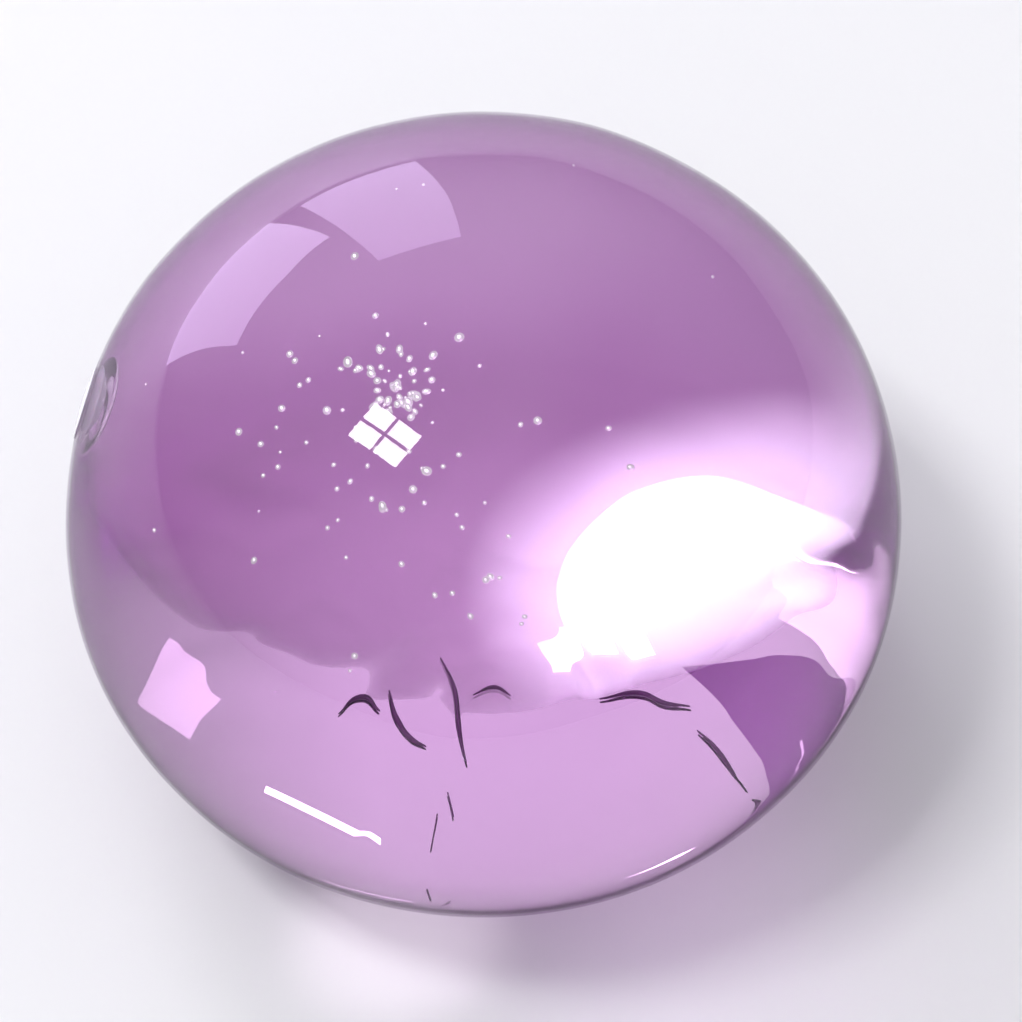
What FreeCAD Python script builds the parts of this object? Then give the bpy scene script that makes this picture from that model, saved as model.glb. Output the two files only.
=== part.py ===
"""Squeeze ball: a soft clear shell full of thick syrup, closed by a barbed plug under a disc of adhesive.

The ball stands on the flat patch that its own weight presses out, centred on the origin, with +Z up. Its fill
port is in the upper half, on the -X side, on a line square to the ball's surface.
"""

import FreeCAD, Part
import math
import os
import Sketcher

# Driving dimensions, in millimetres, degrees or plain shares.
SIZES = {
    "ball_width": 66,  # the widest circle, with the ball sagged at rest
    "ball_height": 50,  # table to crown
    "equator_rise": 19,  # table to the widest circle
    "contact_width": 36,  # the flat patch that the ball rests on
    # radii of the curves above the widest circle and beside the flat patch, as shares of the largest that fit
    "shoulder_roundness": 0.95,
    "foot_roundness": 0.7,
    "wall": 1.6,  # shell thickness
    "port_tilt": 15,  # degrees that the fill port points above level
    "port_bore": 4,
    "neck_width": 8,  # the shell's thickened neck round the port, outside
    "neck_reach": 4.4,  # from the ball's surface to the inner end of the neck
    "seal_width": 6.2,  # the seat sunk round the port, which the adhesive fills
    "seal_depth": 0.8,
    "plug_gap": 0.05,  # between the plug's stem and the bore, all round
    "barb_width": 5.6,
    "barb_tip_width": 3,
    "barb_length": 2.2,
    "pocket_width": 6.8,  # the air shut in behind the plug
    "pocket_length": 3.4,  # from the inner end of the neck
}

# Lengths that follow from them, as expressions.
HALF_WIDTH = "sizes.ball_width / 2"
HALF_CONTACT = "sizes.contact_width / 2"
EQUATOR = "sizes.equator_rise"
CROWN_RISE = f"(sizes.ball_height - {EQUATOR})"
OVERHANG = f"({HALF_WIDTH} - {HALF_CONTACT})"


def closing_arc(along, across, tight):
    """Expression for the arc that runs on, tangent, from a tighter arc to close a rounded quarter."""
    return f"(({across} - {tight})^2 + ({along})^2 - {tight}^2) / (2 * ({along} - {tight}))"


# The tighter arc of each quarter takes the roundness, and it is the other one where the quarter is taller.
TIGHT_SHOULDER = f"(sizes.shoulder_roundness * min({HALF_WIDTH}; {CROWN_RISE}))"
TIGHT_FOOT = f"(sizes.foot_roundness * min({OVERHANG}; {EQUATOR}))"
WIDE_SHOULDER = closing_arc(HALF_WIDTH, CROWN_RISE, TIGHT_SHOULDER)
WIDE_FOOT = closing_arc(EQUATOR, OVERHANG, TIGHT_FOOT)
SHOULDER = f"({CROWN_RISE} <= {HALF_WIDTH} ? {TIGHT_SHOULDER} : {WIDE_SHOULDER})"
FOOT = f"({OVERHANG} <= {EQUATOR} ? {TIGHT_FOOT} : {WIDE_FOOT})"
PORT_START_X = f"{SHOULDER} - {HALF_WIDTH}"  # the port's line starts at the centre of the shoulder's arc
MARGIN = 3  # how far outside the ball the port's cuts start

doc = FreeCAD.newDocument("squeeze_ball")
sheet = doc.addObject("Spreadsheet::Sheet", "sizes")
for row, (alias, value) in enumerate(SIZES.items(), start=1):
    sheet.set(f"A{row}", alias)
    sheet.set(f"B{row}", str(value))
    sheet.setAlias(f"B{row}", alias)
doc.recompute()


def origin_item(body, role):
    """One plane or axis of the body's own origin."""
    return next(item for item in body.Origin.OriginFeatures if item.Role == role)


def new_body(name):
    body = doc.addObject("PartDesign::Body", name)
    body.Label = name
    return body


def new_sketch(body, name, role):
    sketch = body.newObject("Sketcher::SketchObject", name)
    sketch.AttachmentSupport = [(origin_item(body, role), "")]
    sketch.MapMode = "FlatFace"
    return sketch


def constrain(sketch, name, *spec, expression):
    """Add a named dimension and bind it to the sheet."""
    index = sketch.addConstraint(Sketcher.Constraint(*spec))
    sketch.renameConstraint(index, name)
    sketch.setExpression(f"Constraints.{name}", expression)


def arc(x, y, radius, start, end):
    circle = Part.Circle(FreeCAD.Vector(x, y, 0), FreeCAD.Vector(0, 0, 1), radius)
    return Part.ArcOfCircle(circle, start, end)


def line(x0, y0, x1, y1):
    return Part.LineSegment(FreeCAD.Vector(x0, y0, 0), FreeCAD.Vector(x1, y1, 0))


def wide_radius(along, across, tight):
    """Radius of the arc that runs on, tangent, from a tighter arc to close a rounded quarter of that size."""
    return ((across - tight) ** 2 + along**2 - tight**2) / (2 * (along - tight))


def quarter_arcs(first, second, roundness):
    """Radii of the two tangent arcs that round a quarter, given its two sides: each arc ends square to one."""
    tight = roundness * min(first, second)
    if second <= first:
        return tight, wide_radius(second, first, tight)
    return wide_radius(first, second, tight), tight


def ball_outline(body, name, inset_alias=None):
    """Half of the ball's section, drawn inset from its outside by a sheet value, or not at all.

    Down from the axis it is a crown arc, a tighter shoulder arc to the widest point, a side arc and a tight
    foot arc that meets the flat patch. Each arc keeps its centre at every inset, so the wall is even.
    """
    half = SIZES["ball_width"] / 2
    top = SIZES["ball_height"]
    equator = SIZES["equator_rise"]
    contact = SIZES["contact_width"] / 2
    inset = SIZES[inset_alias] if inset_alias else 0
    less_inset = f" - sizes.{inset_alias}" if inset_alias else ""
    shoulder, crown = quarter_arcs(half, top - equator, SIZES["shoulder_roundness"])
    crown_turn = math.atan2(abs(equator - (top - crown)), abs(half - shoulder))
    foot, side = quarter_arcs(equator, half - contact, SIZES["foot_roundness"])
    foot_turn = -math.atan2(abs(equator - foot), abs(half - side - contact))

    sketch = new_sketch(body, name, "XZ_Plane")
    crown_arc, shoulder_arc, side_arc, foot_arc, floor, axis = sketch.addGeometry(
        [
            arc(0, top - crown, crown - inset, crown_turn, math.pi / 2),
            arc(half - shoulder, equator, shoulder - inset, 0, crown_turn),
            arc(half - side, equator, side - inset, foot_turn, 0),
            arc(contact, foot, foot - inset, -math.pi / 2, foot_turn),
            line(0, inset, contact, inset),
            line(0, inset, 0, top - inset),
        ]
    )
    start, end, centre = 1, 2, 3
    horizontal, vertical = -1, -2  # the sketch's own axes

    def tie(*spec):
        sketch.addConstraint(Sketcher.Constraint(*spec))

    tie("Tangent", crown_arc, start, shoulder_arc, end)
    tie("Tangent", shoulder_arc, start, side_arc, end)
    tie("Tangent", side_arc, start, foot_arc, end)
    tie("Tangent", foot_arc, start, floor, end)
    tie("Coincident", floor, start, axis, start)
    tie("Coincident", axis, end, crown_arc, end)
    tie("PointOnObject", crown_arc, centre, vertical)
    tie("PointOnObject", axis, start, vertical)
    tie("Vertical", axis)
    tie("Horizontal", floor)
    tie("Horizontal", shoulder_arc, centre, side_arc, centre)
    if inset_alias:
        spec = ("DistanceY", horizontal, start, floor, start, inset)
        constrain(sketch, "floor_rise", *spec, expression=f"sizes.{inset_alias}")
    else:
        tie("PointOnObject", floor, start, horizontal)
    spec = ("DistanceY", horizontal, start, crown_arc, end, top - inset)
    constrain(sketch, "crown_rise", *spec, expression="sizes.ball_height" + less_inset)
    spec = ("DistanceY", horizontal, start, side_arc, centre, equator)
    constrain(sketch, "equator_rise", *spec, expression=EQUATOR)
    spec = ("DistanceX", vertical, start, side_arc, end, half - inset)
    constrain(sketch, "half_width", *spec, expression=HALF_WIDTH + less_inset)
    spec = ("Radius", shoulder_arc, shoulder - inset)
    constrain(sketch, "shoulder_radius", *spec, expression=SHOULDER + less_inset)
    spec = ("DistanceX", floor, start, floor, end, contact)
    constrain(sketch, "half_contact", *spec, expression=HALF_CONTACT)
    spec = ("Radius", foot_arc, foot - inset)
    constrain(sketch, "foot_radius", *spec, expression=FOOT + less_inset)
    return sketch


def spin(body, kind, name, sketch):
    """Revolve a section a full turn about its upright axis, to add it or to cut it away."""
    feature = body.newObject(f"PartDesign::{kind}", name)
    feature.Profile = sketch
    feature.ReferenceAxis = (sketch, ["V_Axis"])
    feature.Angle = 360
    return feature


def along_port(item, prop, distance):
    """Bind a placement to the port's line: its Z outward along it, at a distance from the line's start."""
    setattr(item, prop, FreeCAD.Placement(FreeCAD.Vector(), FreeCAD.Rotation(FreeCAD.Vector(0, -1, 0), 45)))
    item.setExpression(f"{prop}.Rotation.Angle", "90 - sizes.port_tilt")
    item.setExpression(f"{prop}.Base.x", f"{PORT_START_X} - ({distance}) * cos(sizes.port_tilt * 1deg)")
    item.setExpression(f"{prop}.Base.z", f"{EQUATOR} + ({distance}) * sin(sizes.port_tilt * 1deg)")


def port_circle(body, name, width_alias, distance):
    """A circle square to the fill port's line."""
    sketch = new_sketch(body, name, "XY_Plane")
    along_port(sketch, "AttachmentOffset", distance)
    circle = Part.Circle(FreeCAD.Vector(), FreeCAD.Vector(0, 0, 1), SIZES[width_alias] / 2)
    index = sketch.addGeometry(circle)
    sketch.addConstraint(Sketcher.Constraint("Coincident", index, 3, -1, 1))
    spec = ("Diameter", index, SIZES[width_alias])
    constrain(sketch, "width", *spec, expression=f"sizes.{width_alias}")
    return sketch


def port_cut(body, name, width_alias, depth):
    """Cut a round hole along the port, from outside the ball to a depth below its surface."""
    sketch = port_circle(body, f"{name}_circle", width_alias, f"{SHOULDER} + {MARGIN}")
    feature = body.newObject("PartDesign::Pocket", name)
    feature.Profile = sketch
    feature.setExpression("Length", f"{MARGIN} + {depth}")
    return feature


def make_skin():
    """The moulded shell, thickened inward to a neck round the fill port."""
    body = new_body("skin")
    spin(body, "Revolution", "outside", ball_outline(body, "outside_outline"))
    spin(body, "Groove", "cavity", ball_outline(body, "cavity_outline", "wall"))
    circle = port_circle(body, "neck_circle", "neck_width", f"{SHOULDER} - sizes.neck_reach")
    neck = body.newObject("PartDesign::Pad", "neck")
    neck.Profile = circle
    neck.setExpression("Length", "sizes.neck_reach - sizes.wall / 2")
    port_cut(body, "bore", "port_bore", "sizes.neck_reach + sizes.pocket_length")
    port_cut(body, "seat", "seal_width", "sizes.seal_depth")
    return body


def make_filling():
    """The syrup, which takes the shell's inside, less the neck and the air behind the plug."""
    body = new_body("filling")
    spin(body, "Revolution", "syrup", ball_outline(body, "syrup_outline", "wall"))
    port_cut(body, "neck_room", "neck_width", "sizes.neck_reach")
    port_cut(body, "air_pocket", "pocket_width", "sizes.neck_reach + sizes.pocket_length")
    return body


def make_plug():
    """The stem fills the bore from the adhesive to the neck's inner end, where the barb holds it.

    It is turned in its own frame, with Z outward along the port and its origin at the neck's inner end.
    """
    body = new_body("fill_plug")
    sketch = new_sketch(body, "plug_section", "XZ_Plane")
    stem = SIZES["port_bore"] / 2 - SIZES["plug_gap"]
    barb = SIZES["barb_width"] / 2
    tip = SIZES["barb_tip_width"] / 2
    stem_top = SIZES["neck_reach"] - SIZES["seal_depth"]
    barb_end = -SIZES["barb_length"]
    corners = [(0, stem_top), (stem, stem_top), (stem, 0), (barb, 0), (tip, barb_end), (0, barb_end)]
    count = len(corners)
    for index, corner in enumerate(corners):
        sketch.addGeometry(line(*corner, *corners[(index + 1) % count]))
    top, stem_side, step, taper, base, axis = range(count)

    def tie(*spec):
        sketch.addConstraint(Sketcher.Constraint(*spec))

    for index in range(count):
        tie("Coincident", index, 2, (index + 1) % count, 1)
    for level in (top, base):
        tie("Horizontal", level)
    tie("Vertical", stem_side)
    tie("PointOnObject", top, 1, -2)
    tie("PointOnObject", base, 2, -2)
    tie("PointOnObject", step, 1, -1)
    tie("PointOnObject", step, 2, -1)
    dimensions = [
        ("stem_radius", "DistanceX", top, 1, top, 2, stem, "sizes.port_bore / 2 - sizes.plug_gap"),
        ("stem_length", "DistanceY", -1, 1, top, 2, stem_top, "sizes.neck_reach - sizes.seal_depth"),
        ("barb_radius", "DistanceX", -1, 1, taper, 1, barb, "sizes.barb_width / 2"),
        ("tip_radius", "DistanceX", base, 2, base, 1, tip, "sizes.barb_tip_width / 2"),
        ("barb_length", "DistanceY", base, 1, -1, 1, -barb_end, "sizes.barb_length"),
    ]
    for name, *spec, expression in dimensions:
        constrain(sketch, name, *spec, expression=expression)
    spin(body, "Revolution", "plug_turned", sketch)
    along_port(body, "Placement", f"{SHOULDER} - sizes.neck_reach")
    return body


def make_seal():
    """The adhesive that fills the seat: a round core cut off by the ball's own outside."""
    core = doc.addObject("Part::Cylinder", "seal_core")
    core.setExpression("Radius", "sizes.seal_width / 2")
    core.setExpression("Height", f"sizes.seal_depth + {MARGIN}")
    along_port(core, "Placement", f"{SHOULDER} - sizes.seal_depth")
    outside = new_body("outside_form")
    spin(outside, "Revolution", "form_turned", ball_outline(outside, "form_outline"))
    seal = doc.addObject("Part::Common", "port_seal")
    seal.Base = core
    seal.Tool = outside
    return seal


pieces = [make_skin(), make_filling(), make_plug(), make_seal()]
doc.recompute()

for item in doc.Objects:
    bad = {"Invalid", "Error"} & set(item.State)
    if bad:
        raise RuntimeError(f"{item.Name} is {sorted(bad)}")
for piece in pieces:
    shape = piece.Shape
    if shape.isNull() or not shape.isValid() or len(shape.Solids) != 1:
        raise RuntimeError(f"{piece.Label} isn't one valid solid")

os.makedirs("parts", exist_ok=True)
for piece in pieces:
    piece.Shape.exportStep(f"parts/{piece.Label}.step")
    box = piece.Shape.BoundBox
    place = f"x from {box.XMin:.3f}, z {box.ZMin:.3f} to {box.ZMax:.3f}"
    print(f"{piece.Label}: {piece.Shape.Volume:.1f} mm3, {place}")
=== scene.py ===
"""Squeeze ball drawn round its fixed frame: syrup, skin, fill port, bubbles, painted crease shade and a plain
table.

Lengths are in metres, as in the frame. Run as a script, it builds every piece in order.
"""

import math
import random

import bmesh
import bpy
from bpy.props import FloatProperty, FloatVectorProperty, IntProperty, PointerProperty
from mathutils import Matrix, Vector, noise


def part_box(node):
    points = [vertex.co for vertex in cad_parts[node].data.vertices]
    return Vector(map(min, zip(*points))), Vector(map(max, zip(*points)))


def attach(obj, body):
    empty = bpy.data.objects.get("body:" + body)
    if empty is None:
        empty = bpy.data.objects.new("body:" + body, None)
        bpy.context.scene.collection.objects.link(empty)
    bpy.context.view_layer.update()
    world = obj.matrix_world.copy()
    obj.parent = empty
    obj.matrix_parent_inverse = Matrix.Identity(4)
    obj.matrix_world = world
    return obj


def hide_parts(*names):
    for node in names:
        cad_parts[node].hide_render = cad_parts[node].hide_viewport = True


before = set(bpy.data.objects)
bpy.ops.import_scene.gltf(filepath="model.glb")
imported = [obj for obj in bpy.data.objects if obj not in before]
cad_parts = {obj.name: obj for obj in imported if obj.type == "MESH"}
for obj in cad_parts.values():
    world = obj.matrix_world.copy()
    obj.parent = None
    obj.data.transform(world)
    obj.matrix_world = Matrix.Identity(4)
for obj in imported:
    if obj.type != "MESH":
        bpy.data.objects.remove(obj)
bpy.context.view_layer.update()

bl_info = {
    "name": "Squeeze ball",
    "version": (1, 0, 0),
    "blender": (4, 5, 0),
    "location": "3D View > Sidebar > Squeeze ball",
    "description": "Builds a syrup-filled squeeze ball and the table that it stands on",
    "category": "Add Mesh",
}

BALL_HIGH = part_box("skin")[1]
HALF_WIDTH = BALL_HIGH.x
HEIGHT = BALL_HIGH.z
# The window's direction: shares to the right and up in the view, and angle off the camera's line.
WINDOW = (-0.659, 0.753, math.radians(38.1))
WINDOW_ROLL = math.radians(44)
LIGHT_REACH = 1.2  # from the ball to the window and the room's other lights
EDGE_FALL = 1.2  # power of the curve by which the seal and its seat run out to nothing at their edge


# Settings that a user would change.


class BallShape(bpy.types.PropertyGroup):
    """The sagged ball, as its frame gives it, and the unevenness of a soft moulding"""

    equator_rise: FloatProperty(
        name="Equator rise", description="Table to the widest circle", default=0.019, unit="LENGTH")
    contact_width: FloatProperty(
        name="Flat patch", description="Width of the patch that the ball rests on",
        default=0.036, unit="LENGTH")
    shoulder_roundness: FloatProperty(
        name="Shoulder", description="Share of the largest radius that fits above the equator",
        default=0.95, subtype="FACTOR")
    foot_roundness: FloatProperty(
        name="Foot", description="Share of the largest radius that fits beside the flat patch",
        default=0.70, subtype="FACTOR")
    film: FloatProperty(
        name="Film", description="Thickness drawn for the skin's clear outside",
        default=0.00018, unit="LENGTH")
    wobble: FloatProperty(
        name="Wobble", description="Unevenness of the soft outside", default=0.00012, unit="LENGTH")
    pucker: FloatProperty(
        name="Pucker", description="How far the flat patch lifts off the table in places",
        default=0.00006, unit="LENGTH")
    # width of the thin dark lines of painted shade along the creases
    crease_shade_width: FloatProperty(
        name="Crease width", description="Widest part of the creases in the flat patch",
        default=0.00018, unit="LENGTH")


class PortShape(bpy.types.PropertyGroup):
    """The plugged fill port, on the side away from +X"""

    tilt: FloatProperty(
        name="Tilt", description="How far the port points above level",
        default=math.radians(15), subtype="ANGLE")
    seal_width: FloatProperty(
        name="Seal width", description="Disc of adhesive over the plug", default=0.0062, unit="LENGTH")
    seal_depth: FloatProperty(
        name="Seal depth", description="Depth of the adhesive at its middle", default=0.00078, unit="LENGTH")
    neck_reach: FloatProperty(
        name="Neck reach", description="Ball's surface to the neck's inner end",
        default=0.0044, unit="LENGTH")
    pocket_width: FloatProperty(
        name="Air pocket width", description="Air shut in behind the plug", default=0.0068, unit="LENGTH")
    pocket_length: FloatProperty(
        name="Air pocket length", description="From the neck's inner end", default=0.0034, unit="LENGTH")


class SyrupFinish(bpy.types.PropertyGroup):
    """Colour and clearness of the filling"""

    tint: FloatVectorProperty(
        name="Tint", description="Colour that is left after a deep look", size=3, subtype="COLOR",
        default=(0.592, 0.042, 0.642), min=0, max=1)
    depth: FloatProperty(
        name="Depth", description="Strength of the tint for each metre of syrup", default=12.0, min=0)
    bend: FloatProperty(
        name="Refraction", description="Refractive index of syrup and skin", default=1.52, min=1)


class BubbleCount(bpy.types.PropertyGroup):
    """Air bubbles caught under the skin"""

    seed: IntProperty(name="Seed", description="Picks where each bubble lies", default=7)
    crown: IntProperty(
        name="Crown", description="Bubbles in the tight cluster by the crown", default=46, min=0)
    band: IntProperty(name="Band", description="Bubbles strewn across the middle", default=64, min=0)
    strays: IntProperty(name="Strays", description="Single bubbles elsewhere", default=16, min=0)


class StageSet(bpy.types.PropertyGroup):
    """Camera, table and lights"""

    azimuth: FloatProperty(
        name="Azimuth", description="Camera's turn about +Z, from looking along +Y",
        default=math.radians(10.5), subtype="ANGLE")
    elevation: FloatProperty(
        name="Elevation", description="Camera above level", default=math.radians(54), subtype="ANGLE")
    distance: FloatProperty(
        name="Distance", description="Camera to the ball's middle", default=0.30, unit="LENGTH")
    fill: FloatProperty(
        name="Fill", description="Share of the picture's width that the ball takes",
        default=0.833, subtype="FACTOR")
    table: FloatVectorProperty(
        name="Table", description="Colour of the table", size=3, subtype="COLOR",
        default=(0.58, 0.58, 0.59), min=0, max=1)
    room: FloatProperty(name="Room", description="Brightness of the room low down", default=0.30, min=0)
    ceiling: FloatProperty(name="Ceiling", description="Brightness of the room overhead", default=1.25, min=0)
    window: FloatProperty(name="Window", description="Brightness of the window's panes", default=20.0, min=0)
    glow: FloatProperty(
        name="Gathered light", description="Power of the light that the ball gathers on the table under it",
        default=2.4, min=0)


def settings():
    return bpy.context.scene.squeeze_ball


class BallSettings(bpy.types.PropertyGroup):
    """Everything that the ball is built from"""

    shape: PointerProperty(type=BallShape)
    port: PointerProperty(type=PortShape)
    syrup: PointerProperty(type=SyrupFinish)
    bubbles: PointerProperty(type=BubbleCount)
    stage: PointerProperty(type=StageSet)


# The ball's outline.


def wide_radius(along, across, tight):
    """Radius of the arc that runs on, tangent, from a tighter arc to close a rounded quarter of that size."""
    return ((across - tight) ** 2 + along**2 - tight**2) / (2 * (along - tight))


def shoulder_radius():
    shape = settings().shape
    return shape.shoulder_roundness * min(HALF_WIDTH, HEIGHT - shape.equator_rise)


def ball_outline(inset, steps, floor_steps):
    """Distance from the axis and rise of each point of the outline, from the crown to the patch's middle.

    inset moves the outline inward. steps is the number of points in a quarter turn of each arc.
    """
    shape = settings().shape
    equator = shape.equator_rise
    contact = shape.contact_width / 2
    shoulder = shoulder_radius()
    crown = wide_radius(HEIGHT - equator, HALF_WIDTH, shoulder)
    crown_turn = math.atan2(equator - (HEIGHT - crown), HALF_WIDTH - shoulder)
    foot = shape.foot_roundness * min(HALF_WIDTH - contact, equator)
    side = wide_radius(HALF_WIDTH - contact, equator, foot)
    foot_turn = math.atan2(foot - equator, contact - (HALF_WIDTH - side))
    arcs = [
        (0, HEIGHT - crown, crown, math.pi / 2, crown_turn),
        (HALF_WIDTH - shoulder, equator, shoulder, crown_turn, 0),
        (HALF_WIDTH - side, equator, side, 0, foot_turn),
        (contact, foot, foot, foot_turn, -math.pi / 2),
    ]
    points = []
    for x, z, radius, start, end in arcs:
        count = max(2, round(steps * abs(end - start) / (math.pi / 2)))
        for k in range(count):
            turn = start + (end - start) * k / count
            points.append((x + (radius - inset) * math.cos(turn), z + (radius - inset) * math.sin(turn)))
    points += [(contact * (1 - k / floor_steps), inset) for k in range(floor_steps + 1)]
    return points


def port_line():
    """Where the port's line starts, and the way that it points, outward."""
    port = settings().port
    start = Vector((shoulder_radius() - HALF_WIDTH, 0, settings().shape.equator_rise))
    return start, Vector((-math.cos(port.tilt), 0, math.sin(port.tilt)))


def uneven(point):
    """A point of the soft outside, moved as the moulding wanders, with the port's seat pressed in."""
    shape, port = settings().shape, settings().port
    middle = Vector((0, 0, shape.equator_rise))
    outward = (point - middle).normalized()
    # the wander fades in above the foot, so that the foot stays round
    still_below, fade_height = 0.004, 0.012
    above_foot = min(1, max(0, (point.z - still_below) / fade_height))
    broad, fine = 62, 131
    wander = noise.noise(point * broad) + 0.5 * noise.noise(point * fine)
    point = point + outward * (shape.wobble * wander * above_foot)
    # the folds keep to the flat patch, and fade out just past its edge
    fold_height, fold_spread, fold_fade = 0.002, 1.15, 6
    broad_fold, fine_fold, slice_height = 190, 420, 0.3
    spread = math.hypot(point.x, point.y) / (shape.contact_width / 2)
    if point.z < fold_height and spread < fold_spread:
        flat = Vector((point.x, point.y, slice_height))
        folds = noise.noise(flat * broad_fold) + 0.6 * noise.noise(point * fine_fold)
        fade = min(1, fold_fade * (fold_spread - spread))
        point = point + Vector((0, 0, shape.pucker * max(0, folds) * fade))
    start, way = port_line()
    along = (point - start).dot(way)
    off_line = (point - start - way * along).length / (port.seal_width / 2)
    if along > 0 and off_line < 1:
        point = point - way * (port.seal_depth * (1 - off_line**2) ** EDGE_FALL)
    return point


# Mesh building.


def add_object(name, mesh):
    item = bpy.data.objects.new(name, mesh)
    bpy.context.scene.collection.objects.link(item)
    return item


def smooth_mesh(name, vertices, faces):
    mesh = bpy.data.meshes.new(name)
    mesh.from_pydata(vertices, [], faces)
    mesh.validate()
    for polygon in mesh.polygons:
        polygon.use_smooth = True
    return mesh


def lathe(outline, segments, move, inward=False):
    """Vertices and faces of a closed outline turned about Z. Faces look outward, or inward for a hollow."""
    top, *rings, bottom = outline
    vertices = [move(Vector((0, 0, top[1])))]
    for radius, rise in rings:
        for j in range(segments):
            turn = 2 * math.pi * j / segments
            vertices.append(move(Vector((radius * math.cos(turn), radius * math.sin(turn), rise))))
    vertices.append(move(Vector((0, 0, bottom[1]))))
    last = len(vertices) - 1
    faces = []
    for j in range(segments):
        k = (j + 1) % segments
        faces.append((0, 1 + j, 1 + k))
        for i in range(len(rings) - 1):
            upper, lower = 1 + i * segments, 1 + (i + 1) * segments
            faces.append((upper + j, lower + j, lower + k, upper + k))
        lowest = 1 + (len(rings) - 1) * segments
        faces.append((lowest + j, last, lowest + k))
    if inward:
        faces = [face[::-1] for face in faces]
    return vertices, faces


def joined(*parts):
    """Several lists of vertices and faces as one."""
    vertices, faces = [], []
    for more_vertices, more_faces in parts:
        base = len(vertices)
        vertices += more_vertices
        faces += [tuple(base + i for i in face) for face in more_faces]
    return vertices, faces


# Effects and materials.


def effect_group(name, sockets_in, sockets_out):
    """An empty shader node group with those sockets, or None where it is already built."""
    if name in bpy.data.node_groups:
        return None
    group = bpy.data.node_groups.new(name, "ShaderNodeTree")
    for socket, kind, default in sockets_in:
        made = group.interface.new_socket(socket, in_out="INPUT", socket_type=kind)
        made.default_value = default
    for socket, kind in sockets_out:
        group.interface.new_socket(socket, in_out="OUTPUT", socket_type=kind)
    return group


def drift_group():
    """Slow cloudy drift through a clear body: a mask from 0 to 1 and a colour between two."""
    group = effect_group(
        "drift",
        [("Size", "NodeSocketFloat", 30.0), ("Pale", "NodeSocketColor", (1, 1, 1, 1)),
         ("Deep", "NodeSocketColor", (1, 1, 1, 1))],
        [("Mask", "NodeSocketFloat"), ("Color", "NodeSocketColor")],
    )
    if group:
        nodes, links = group.nodes, group.links
        given, out = nodes.new("NodeGroupInput"), nodes.new("NodeGroupOutput")
        place = nodes.new("ShaderNodeTexCoord")
        cloud = nodes.new("ShaderNodeTexNoise")
        cloud.inputs["Detail"].default_value = 3.0
        cloud.inputs["Distortion"].default_value = 1.4
        blend = nodes.new("ShaderNodeMix")
        blend.data_type = "RGBA"
        links.new(place.outputs["Object"], cloud.inputs["Vector"])
        links.new(given.outputs["Size"], cloud.inputs["Scale"])
        links.new(cloud.outputs["Fac"], blend.inputs["Factor"])
        links.new(given.outputs["Pale"], blend.inputs["A"])
        links.new(given.outputs["Deep"], blend.inputs["B"])
        links.new(cloud.outputs["Fac"], out.inputs["Mask"])
        links.new(blend.outputs["Result"], out.inputs["Color"])
    return bpy.data.node_groups["drift"]


def add_range(nodes, **limits):
    """A node that stretches one range of values on to another; sockets take the limits by name."""
    node = nodes.new("ShaderNodeMapRange")
    for socket, value in limits.items():
        node.inputs[socket.replace("_", " ")].default_value = value
    return node


def handled_group():
    """Marks of handling on a soft gloss surface: a roughness, and a height for a bump."""
    group = effect_group(
        "handled",
        [("Size", "NodeSocketFloat", 120.0), ("Gloss", "NodeSocketFloat", 0.05),
         ("Dull", "NodeSocketFloat", 0.2)],
        [("Roughness", "NodeSocketFloat"), ("Height", "NodeSocketFloat")],
    )
    if group:
        nodes, links = group.nodes, group.links
        given, out = nodes.new("NodeGroupInput"), nodes.new("NodeGroupOutput")
        place = nodes.new("ShaderNodeTexCoord")
        smear = nodes.new("ShaderNodeTexNoise")
        smear.inputs["Detail"].default_value = 5.0
        smear.inputs["Distortion"].default_value = 0.8
        spread = add_range(nodes, From_Min=0.45, From_Max=0.75)
        links.new(place.outputs["Object"], smear.inputs["Vector"])
        links.new(given.outputs["Size"], smear.inputs["Scale"])
        links.new(smear.outputs["Fac"], spread.inputs["Value"])
        links.new(given.outputs["Gloss"], spread.inputs["To Min"])
        links.new(given.outputs["Dull"], spread.inputs["To Max"])
        links.new(spread.outputs["Result"], out.inputs["Roughness"])
        links.new(smear.outputs["Fac"], out.inputs["Height"])
    return bpy.data.node_groups["handled"]


def new_material(name, **plain):
    """A material and its one Principled shader, whose named sockets take plain values."""
    material = bpy.data.materials.new(name)
    material.use_nodes = True
    shader = material.node_tree.nodes["Principled BSDF"]
    for socket, value in plain.items():
        shader.inputs[socket.replace("_", " ")].default_value = value
    return material, shader


def add_effect(material, group, **values):
    node = material.node_tree.nodes.new("ShaderNodeGroup")
    node.node_tree = group
    for socket, value in values.items():
        node.inputs[socket].default_value = value
    return node


def add_finish(material, shader, drift_size, pale, deep, mark_size, gloss, dull):
    """Drifting colour between two, and marks of handling between two roughnesses. Returns the marks."""
    links = material.node_tree.links
    colour = add_effect(material, drift_group(), Size=drift_size, Pale=(*pale, 1), Deep=(*deep, 1))
    marks = add_effect(material, handled_group(), Size=mark_size, Gloss=gloss, Dull=dull)
    links.new(colour.outputs["Color"], shader.inputs["Base Color"])
    links.new(marks.outputs["Roughness"], shader.inputs["Roughness"])
    return marks


def add_bump(material, shader, height, strength, distance):
    bump = material.node_tree.nodes.new("ShaderNodeBump")
    bump.inputs["Strength"].default_value = strength
    bump.inputs["Distance"].default_value = distance
    material.node_tree.links.new(height, bump.inputs["Height"])
    material.node_tree.links.new(bump.outputs["Normal"], shader.inputs["Normal"])


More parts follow.
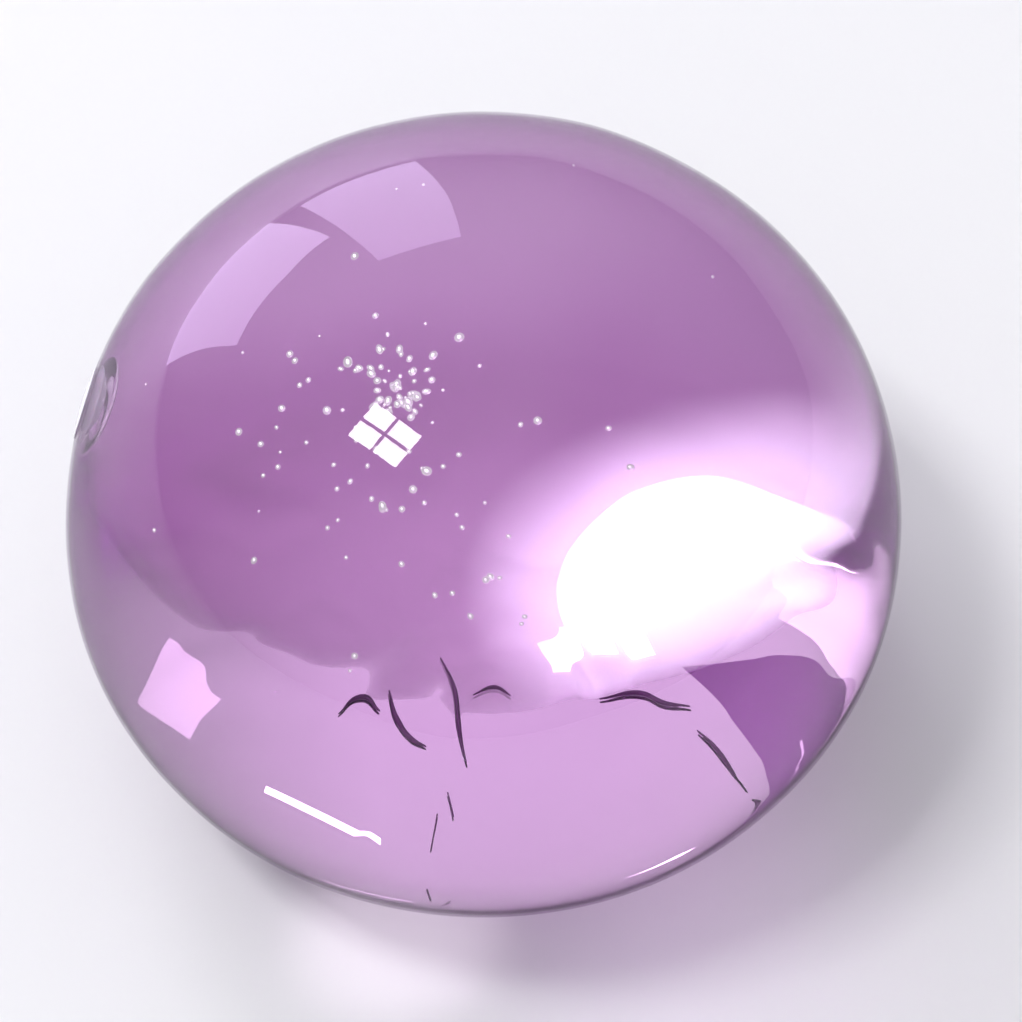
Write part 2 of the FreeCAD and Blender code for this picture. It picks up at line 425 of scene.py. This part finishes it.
def syrup_material():
    finish = settings().syrup
    material, shader = new_material(
        "purple_syrup", Roughness=0.0, IOR=finish.bend, Transmission_Weight=1.0)
    nodes, links = material.node_tree.nodes, material.node_tree.links
    drift = add_effect(
        material, drift_group(), Size=34.0, Pale=(1, 0.985, 1, 1), Deep=(0.965, 0.93, 0.975, 1))
    links.new(drift.outputs["Color"], shader.inputs["Base Color"])
    depth = nodes.new("ShaderNodeVolumeAbsorption")
    depth.inputs["Color"].default_value = (*finish.tint, 1)
    depth.inputs["Density"].default_value = finish.depth
    links.new(depth.outputs["Volume"], nodes["Material Output"].inputs["Volume"])
    return material


def skin_material():
    """Clear film: nearly nothing face on, with a painted dark rim shade that deepens where it is seen edge
    on.
    """
    # the dark purple base colour is painted shade for the ball's dark outline
    material, shader = new_material(
        "clear_skin", Base_Color=(0.10, 0.03, 0.12, 1), Specular_IOR_Level=0.1)
    nodes, links = material.node_tree.nodes, material.node_tree.links
    marks = add_effect(material, handled_group(), Size=70.0, Gloss=0.02, Dull=0.14)
    links.new(marks.outputs["Roughness"], shader.inputs["Roughness"])
    # Layer Weight raises the alpha edge on, so the painted dark shade shows only as a rim
    rim_shade_power, rim_shade_depth = 5.0, 0.85
    edge = nodes.new("ShaderNodeLayerWeight")
    edge.inputs["Blend"].default_value = 0.5
    steep = nodes.new("ShaderNodeMath")
    steep.operation = "POWER"
    steep.inputs[1].default_value = rim_shade_power
    depth = nodes.new("ShaderNodeMath")
    depth.operation = "MULTIPLY"
    depth.inputs[1].default_value = rim_shade_depth
    links.new(edge.outputs["Facing"], steep.inputs[0])
    links.new(steep.outputs["Value"], depth.inputs[0])
    links.new(depth.outputs["Value"], shader.inputs["Alpha"])
    return material


def seal_material():
    material, shader = new_material("clear_adhesive", IOR=1.46, Alpha=0.85)
    marks = add_finish(
        material, shader, 600.0, (0.97, 0.96, 0.98), (0.86, 0.83, 0.90), 900.0, 0.08, 0.3)
    add_bump(material, shader, marks.outputs["Height"], 0.3, 0.0001)
    return material


def plug_material():
    material, shader = new_material("plug_rubber", Subsurface_Weight=0.25, Subsurface_Scale=0.001)
    marks = add_finish(
        material, shader, 420.0, (0.90, 0.84, 0.92), (0.74, 0.64, 0.80), 800.0, 0.3, 0.55)
    add_bump(material, shader, marks.outputs["Height"], 0.4, 0.0001)
    return material


def glowing_bubble_material():
    """Silvery wall of a bubble in syrup, which mirrors what is round it, with a weak painted glow that makes
    it bright as if lit.
    """
    # the emission is painted light: the bubbles glow though nothing in them gives light
    material, shader = new_material(
        "bubble_wall", Metallic=0.85, Emission_Color=(1, 0.96, 1, 1), Emission_Strength=0.35)
    add_finish(material, shader, 900.0, (1, 0.98, 1), (0.88, 0.80, 0.92), 700.0, 0.05, 0.2)
    return material


def crease_shade_material():
    material, shader = new_material("crease_shade")
    # the near-black colour is painted shade in the creases, not a colour of the skin
    add_finish(material, shader, 700.0, (0.16, 0.04, 0.17), (0.06, 0.01, 0.07), 900.0, 0.4, 0.7)
    return material


def table_material():
    stage = settings().stage
    material, shader = new_material("pale_table", Specular_IOR_Level=0.2)
    red, green, blue = stage.table
    worn = (0.98 * red, 0.98 * green, 0.99 * blue)
    add_finish(material, shader, 9.0, (red, green, blue), worn, 60.0, 0.45, 0.6)
    return material


# Pieces.


class SQUEEZE_OT_syrup(bpy.types.Operator):
    """Pour the syrup, with the air pocket behind the plug"""

    bl_idname = "squeeze.syrup"
    bl_label = "Syrup"

    def execute(self, context):
        shape, port = settings().shape, settings().port
        clear_of_film = shape.film * 1.15
        steps, floor_steps, segments = 84, 56, 288
        body = lathe(ball_outline(clear_of_film, steps, floor_steps), segments, uneven)
        start, way = port_line()
        inner = start + way * (shoulder_radius() - port.neck_reach - port.pocket_length / 2)
        turn = way.to_track_quat("Z", "Y").to_matrix()
        half_width, half_length = port.pocket_width / 2, port.pocket_length / 2
        # a power below 1 blunts the pocket's ends
        count, bluntness, around = 20, 0.8, 48
        slopes = [math.pi * k / count for k in range(count + 1)]
        pocket_outline = [
            (half_width * math.sin(slope) ** bluntness, half_length * math.cos(slope)) for slope in slopes]
        pocket = lathe(pocket_outline, around, lambda point: inner + turn @ point, inward=True)
        syrup = add_object("syrup", smooth_mesh("syrup", *joined(body, pocket)))
        syrup.data.materials.append(syrup_material())
        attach(syrup, "root")
        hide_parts("filling")
        return {"FINISHED"}


class SQUEEZE_OT_skin(bpy.types.Operator):
    """Stretch the clear skin over the syrup"""

    bl_idname = "squeeze.skin"
    bl_label = "Skin"

    def execute(self, context):
        film = settings().shape.film
        steps, floor_steps, segments = 64, 40, 240
        outside = lathe(ball_outline(0, steps, floor_steps), segments, uneven)
        inside = lathe(ball_outline(film, steps, floor_steps), segments, uneven, inward=True)
        skin = add_object("clear_skin", smooth_mesh("clear_skin", *joined(outside, inside)))
        skin.data.materials.append(skin_material())
        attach(skin, "root")
        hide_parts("skin")
        return {"FINISHED"}


class SQUEEZE_OT_port(bpy.types.Operator):
    """Set the adhesive over the plug, and give the plug its rubber"""

    bl_idname = "squeeze.port"
    bl_label = "Fill port"

    def execute(self, context):
        port = settings().port
        start, way = port_line()
        turn = way.to_track_quat("Z", "Y").to_matrix()
        inside_seat, rings, segments = 0.97, 12, 64
        radius = port.seal_width / 2 * inside_seat
        surface = shoulder_radius()

        def dome(rise):
            """The ball's own curve, raised by rise in the middle."""
            points = []
            for k in range(rings + 1):
                off = radius * k / rings
                raised = rise * (1 - (k / rings) ** 2) ** EDGE_FALL
                points.append((off, math.sqrt(surface**2 - off**2) + raised))
            return points

        # how far the disc stands proud of the ball, and how far it keeps off its seat
        proud, clear = 0.00012, 0.00006
        outline = dome(proud) + dome(clear - port.seal_depth)[-2::-1]
        parts = lathe(outline, segments, lambda point: start + turn @ point)
        seal = add_object("adhesive_disc", smooth_mesh("adhesive_disc", *parts))
        seal.data.materials.append(seal_material())
        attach(seal, "root")
        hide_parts("port_seal")
        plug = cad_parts["fill_plug"]
        plug.data.materials.clear()
        plug.data.materials.append(plug_material())
        return {"FINISHED"}


def view_axes():
    """The camera's right, up and back directions."""
    stage = settings().stage
    azimuth, elevation = stage.azimuth, stage.elevation
    level = math.cos(elevation)
    back = Vector((math.sin(azimuth) * level, -math.cos(azimuth) * level, math.sin(elevation)))
    right = Vector((math.cos(azimuth), math.sin(azimuth), 0))
    return right, back.cross(right), back


def under_skin(lean, turn, depth):
    """A point at a depth under the skin, at a lean from the crown and a turn about +Z, and the way out."""
    out = Vector((math.sin(lean) * math.cos(turn), math.sin(lean) * math.sin(turn), math.cos(lean)))
    middle = Vector((0, 0, settings().shape.equator_rise))
    tall = HEIGHT - middle.z
    reach = 1 / math.sqrt((math.sin(lean) / HALF_WIDTH) ** 2 + (math.cos(lean) / tall) ** 2)
    return middle + out * (reach - depth), out


def bubble(mesh, place, out, size, stretch, away):
    """Add one bubble to a mesh, flattened against the skin and drawn out by stretch away from a point."""
    flatness, nothing = 0.8, 1e-6
    length = (place - away) - out * (place - away).dot(out)
    length = length.normalized() if length.length > nothing else out.orthogonal().normalized()
    across = out.cross(length)
    frame_turn = Matrix((length * stretch, across, out * flatness)).transposed().to_4x4()
    matrix = Matrix.Translation(place) @ frame_turn
    bmesh.ops.create_icosphere(mesh, subdivisions=2, radius=size / 2, matrix=matrix)


class SQUEEZE_OT_bubbles(bpy.types.Operator):
    """Scatter the trapped air bubbles under the skin"""

    bl_idname = "squeeze.bubbles"
    bl_label = "Bubbles"

    def execute(self, context):
        counts = settings().bubbles
        draw = random.Random(counts.seed)
        material = glowing_bubble_material()
        degrees = math.radians
        shallow, deep, smallest = 0.0012, 0.0045, 0.6
        # name, count, middle's lean and turn, spread in lean and turn, sizes, longest stretch
        groups = [
            ("crown_bubbles", counts.crown, 20.5, 242, 2.6, 11, (0.0003, 0.0007), 1.7),
            ("band_bubbles", counts.band, 30, 247, 9, 30, (0.0003, 0.0008), 1.3),
            ("stray_bubbles", counts.strays, 45, 270, 18, 70, (0.0003, 0.0006), 1.2),
        ]
        for name, count, lean, turn, lean_spread, turn_spread, sizes, stretch in groups:
            mesh = bmesh.new()
            away = under_skin(degrees(lean), degrees(turn), 0)[0]
            for _ in range(count):
                place, out = under_skin(
                    degrees(abs(draw.gauss(lean, lean_spread))), degrees(draw.gauss(turn, turn_spread)),
                    draw.uniform(shallow, deep))
                size = draw.uniform(*sizes) * draw.uniform(smallest, 1)
                bubble(mesh, place, out, size, draw.uniform(1, stretch), away)
            data = bpy.data.meshes.new(name)
            mesh.to_mesh(data)
            mesh.free()
            for polygon in data.polygons:
                polygon.use_smooth = True
            item = add_object(name, data)
            item.data.materials.append(material)
            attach(item, "root")
        return {"FINISHED"}


class SQUEEZE_OT_creases(bpy.types.Operator):
    """Lay thin dark lines of painted shade along the creases that the weight folds into the flat patch"""

    bl_idname = "squeeze.creases"
    bl_label = "Creases"

    def execute(self, context):
        width, rise = settings().shape.crease_shade_width, 0.00031
        end_share, middle_share = 0.35, 1.1
        # points along each crease, in millimetres over the flat patch
        runs = [
            [(-2.7, 4.4), (-1.7, 2.8), (-1.1, 1.2), (-0.6, -0.4)],
            [(-0.8, 2.6), (0, 3.1), (0.7, 2.8)],
            [(-6.5, 1.5), (-5.8, 2.4), (-4.8, 1.7)],
            [(-4.7, 2.6), (-3.9, 1.2), (-3.0, 0.2), (-2.3, -0.1)],
            [(4.2, 4.0), (5.8, 4.6), (7.0, 4.3), (8.1, 4.4)],
            [(8.6, 3.4), (9.5, 2.9), (9.9, 2.3)],
            [(-1.2, -1.9), (-0.8, -3.0)],
            [(-1.5, -3.0), (-1.5, -4.8)],
        ]
        # each crease is drawn as a thin dark tube of painted shade
        curve = bpy.data.curves.new("creases", "CURVE")
        curve.dimensions = "3D"
        curve.bevel_depth = width / 2
        curve.bevel_resolution = 2
        curve.resolution_u = 8
        for run in runs:
            spline = curve.splines.new("BEZIER")
            spline.bezier_points.add(len(run) - 1)
            for k, (x, y) in enumerate(run):
                point = spline.bezier_points[k]
                point.co = (x / 1000, y / 1000, rise)
                point.handle_left_type = point.handle_right_type = "AUTO"
                point.radius = end_share if k in (0, len(run) - 1) else middle_share
        drawn = bpy.data.objects.new("creases", curve)
        mesh = bpy.data.meshes.new_from_object(drawn)
        mesh.name = "creases"
        bpy.data.objects.remove(drawn)
        mesh.materials.clear()
        item = add_object("creases", mesh)
        item.data.materials.append(crease_shade_material())
        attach(item, "root")
        return {"FINISHED"}


# Stage.


def toward(right_share, up_share, off_axis):
    """The direction at an angle off the camera's own line, on the side that the shares give."""
    right, up, back = view_axes()
    side = (right * right_share + up * up_share).normalized()
    return back * math.cos(off_axis) + side * math.sin(off_axis)


def from_far(left, rise):
    """The direction at a turn to the left of the ball's far side, and a rise, in degrees."""
    right = view_axes()[0]
    far = Vector((-right.y, right.x, 0))
    turn, rise = math.radians(left), math.radians(rise)
    return (far * math.cos(turn) - right * math.sin(turn)) * math.cos(rise) + Vector((0, 0, math.sin(rise)))


def area_light(name, place, across, along, width, height, radiance):
    """A rectangle of light at a place, with its sides along two directions, facing away from their cross."""
    light = bpy.data.lights.new(name, "AREA")
    light.shape = "RECTANGLE"
    light.size, light.size_y = width, height
    light.energy = radiance * math.pi * width * height
    item = add_object(name, light)
    item.matrix_world = Matrix.Translation(place) @ Matrix(
        (across, along, across.cross(along))).transposed().to_4x4()
    return item


class SQUEEZE_OT_stage(bpy.types.Operator):
    """Set the camera, the pale table and the soft lights"""

    bl_idname = "squeeze.stage"
    bl_label = "Stage"

    def execute(self, context):
        scene = context.scene
        self.place_camera(scene)
        floor = self.lay_table()
        self.hang_window()
        self.hang_lights()
        self.hang_shade_card()
        self.light_table(floor)
        self.light_room(scene)
        scene.view_settings.view_transform = "Standard"
        scene.cycles.max_bounces = 32
        scene.cycles.transmission_bounces = 28
        scene.cycles.transparent_max_bounces = 24
        return {"FINISHED"}

    def place_camera(self, scene):
        stage = settings().stage
        right, up, back = view_axes()
        camera = bpy.data.cameras.new("camera")
        item = add_object("camera", camera)
        item.matrix_world = Matrix.Translation(Vector((0, 0, HEIGHT / 2)) + back * stage.distance) @ Matrix(
            (right, up, back)).transposed().to_4x4()
        ball = 2 * math.tan(math.asin(HALF_WIDTH / stage.distance))
        camera.lens = camera.sensor_width * stage.fill / ball
        camera.shift_x, camera.shift_y = 0.027, -0.036  # the ball stands a little left of the middle
        camera.clip_start = 0.01
        scene.camera = item

    def lay_table(self):
        reach, gap = 3.0, 0.0002
        corners = [(-reach, -reach, -gap), (reach, -reach, -gap), (reach, reach, -gap), (-reach, reach, -gap)]
        mesh = bpy.data.meshes.new("table")
        mesh.from_pydata(corners, [], [(0, 1, 2, 3)])
        floor = add_object("table", mesh)
        floor.data.materials.append(table_material())
        return floor

    def hang_window(self):
        """Four panes high on the left, with bars between."""
        stage = settings().stage
        right = view_axes()[0]
        way = toward(*WINDOW)
        flat_right = (right - way * right.dot(way)).normalized()
        flat_up = way.cross(flat_right)
        along = flat_right * math.cos(WINDOW_ROLL) - flat_up * math.sin(WINDOW_ROLL)
        across = way.cross(along)
        width, height, bar = 0.34, 0.23, 0.040
        pane = ((width - bar) / 2, (height - bar) / 2)
        for i in (-1, 1):
            for j in (-1, 1):
                place = way * LIGHT_REACH + along * (i * width / 4) + across * (j * height / 4)
                area_light(f"pane_{i + 1}_{j + 1}", place, along, across, *pane, stage.window)

    def hang_lights(self):
        """Two tall panels that the ball mirrors, and the lights that show only through it."""
        panel_colour = (0.82, 0.68, 1.0)
        # name, turn to the left of the far side, rise, width, height, roll, brightness, mirrored
        lights = [
            ("tall_a", 42, 8, 0.60, 0.64, 0, 4.2, True),
            ("tall_b", 16, 21, 0.34, 0.84, 0, 3.2, True),
            ("soft_far", 36, 36, 0.60, 0.40, 0, 7.0, False),
            ("soft_side", 84, 56, 0.46, 0.36, 0, 1.5, False),
            ("far_pane_left", 27, 67, 0.046, 0.10, 0, 8.0, False),
            ("far_pane_middle", 20.5, 67.5, 0.046, 0.10, 0, 8.0, False),
            ("far_pane_right", 14, 67, 0.046, 0.10, 0, 8.0, False),
            ("lamp", -50, 57, 0.17, 0.14, 0, 0.9, False),
            ("strip", -19, 50.5, 0.24, 0.014, -15, 5.0, False),
            ("glint", 50, 50, 0.012, 0.05, 0, 1.4, False),
        ]
        for name, left, rise, width, height, roll, brightness, mirrored in lights:
            way = from_far(left, rise)
            level = Vector((-way.y, way.x, 0)).normalized()
            tip = math.radians(roll)
            across = level * math.cos(tip) + way.cross(level) * math.sin(tip)
            light = area_light(
                name, way * LIGHT_REACH, across, way.cross(across), width, height, brightness)
            light.visible_glossy = mirrored
            if mirrored:
                light.data.color = panel_colour

    def hang_shade_card(self):
        """A dark three-cornered sheet beyond the lights on the left, which shows only through the ball:
        painted shade for the dark wedge seen in it.
        """
        reach = 1.25
        corners = [from_far(left, rise) * reach for left, rise in ((33, 63), (70, 52), (44, 42))]
        mesh = bpy.data.meshes.new("shade_card")
        mesh.from_pydata(corners, [], [(0, 1, 2)])
        card = add_object("shade_card", mesh)
        # the sheet stands in for shade: its dull purple shows through the ball as a dark wedge
        card.data.materials.append(
            new_material("shade_card", Base_Color=(0.50, 0.24, 0.54, 1), Roughness=0.8)[0])
        card.visible_diffuse = card.visible_glossy = card.visible_shadow = False

    def light_table(self, floor):
        """The light that comes through the ball to the table: gathered in one place and spread in others."""
        stage = settings().stage
        only = bpy.data.collections.new("table_only")
        only.objects.link(floor)
        # name, middle of the lit patch, half its width, share of the power, softness of its edge, colour
        patches = [
            ("gathered_main", (0.0066, 0.0108), 0.0070, 7.0, 0.08, (0.94, 1.0, 1.0)),
            ("gathered_tail", (0.0002, 0.0042), 0.0048, 0.40, 0.9, (1.0, 0.80, 0.98)),
            ("spread", (-0.0060, 0.0080), 0.0240, 0.60, 1.0, (1.0, 0.28, 0.98)),
            ("spread_near", (-0.0020, -0.0280), 0.0100, 0.90, 1.0, (1.0, 0.86, 1.0)),
        ]
        way = toward(*WINDOW)
        turn = way.to_track_quat("Z", "Y").to_matrix().to_4x4()
        distance, source_size = 0.3, 0.002
        for name, (x, y), half, share, softness, colour in patches:
            light = bpy.data.lights.new(name, "SPOT")
            light.energy = stage.glow * share
            light.color = colour
            light.spot_size = 2 * math.atan(half / distance)
            light.spot_blend = softness
            light.shadow_soft_size = source_size
            item = add_object(name, light)
            item.matrix_world = Matrix.Translation(Vector((x, y, 0)) + way * distance) @ turn
            item.light_linking.receiver_collection = only
            item.light_linking.blocker_collection = only

    def light_room(self, scene):
        """A room that brightens from the floor to overhead, and is dimmer on the right of the view."""
        stage = settings().stage
        dim_from, dim_to, dim_share = 0.08, 0.55, 0.55
        world = bpy.data.worlds.new("room")
        world.use_nodes = True
        scene.world = world
        nodes, links = world.node_tree.nodes, world.node_tree.links
        place = nodes.new("ShaderNodeTexCoord")
        parts = nodes.new("ShaderNodeSeparateXYZ")
        rise = add_range(nodes, From_Min=0.0, From_Max=1.0, To_Min=stage.room, To_Max=stage.ceiling)
        side = nodes.new("ShaderNodeVectorMath")
        side.operation = "DOT_PRODUCT"
        side.inputs[1].default_value = view_axes()[0]
        dim = add_range(nodes, From_Min=dim_from, From_Max=dim_to, To_Min=1.0, To_Max=dim_share)
        dim.interpolation_type = "SMOOTHSTEP"
        both = nodes.new("ShaderNodeMath")
        both.operation = "MULTIPLY"
        back = nodes["Background"]
        back.inputs["Color"].default_value = (0.97, 0.985, 1, 1)
        links.new(place.outputs["Generated"], parts.inputs["Vector"])
        links.new(parts.outputs["Z"], rise.inputs["Value"])
        links.new(place.outputs["Generated"], side.inputs[0])
        links.new(side.outputs["Value"], dim.inputs["Value"])
        links.new(rise.outputs["Result"], both.inputs[0])
        links.new(dim.outputs["Result"], both.inputs[1])
        links.new(both.outputs["Value"], back.inputs["Strength"])


class SQUEEZE_PT_panel(bpy.types.Panel):
    """Lists the pieces in the sidebar"""

    bl_idname = "SQUEEZE_PT_panel"
    bl_label = "Squeeze ball"
    bl_space_type = "VIEW_3D"
    bl_region_type = "UI"
    bl_category = "Squeeze ball"

    def draw(self, context):
        for operator in PIECES:
            self.layout.operator(operator.bl_idname)
        ball = context.scene.squeeze_ball
        for group in (ball.shape, ball.port, ball.syrup, ball.bubbles, ball.stage):
            box = self.layout.box()
            for name in group.__annotations__:
                box.prop(group, name)


PIECES = [
    SQUEEZE_OT_stage, SQUEEZE_OT_syrup, SQUEEZE_OT_skin, SQUEEZE_OT_port, SQUEEZE_OT_bubbles,
    SQUEEZE_OT_creases,
]
CLASSES = [BallShape, PortShape, SyrupFinish, BubbleCount, StageSet, BallSettings, *PIECES, SQUEEZE_PT_panel]


def register():
    for item in CLASSES:
        bpy.utils.register_class(item)
    bpy.types.Scene.squeeze_ball = PointerProperty(type=BallSettings)


def unregister():
    del bpy.types.Scene.squeeze_ball
    for item in reversed(CLASSES):
        bpy.utils.unregister_class(item)


def main():
    register()
    bpy.ops.squeeze.stage()
    bpy.ops.squeeze.syrup()
    bpy.ops.squeeze.skin()
    bpy.ops.squeeze.port()
    bpy.ops.squeeze.bubbles()
    bpy.ops.squeeze.creases()


if __name__ == "__main__":
    main()
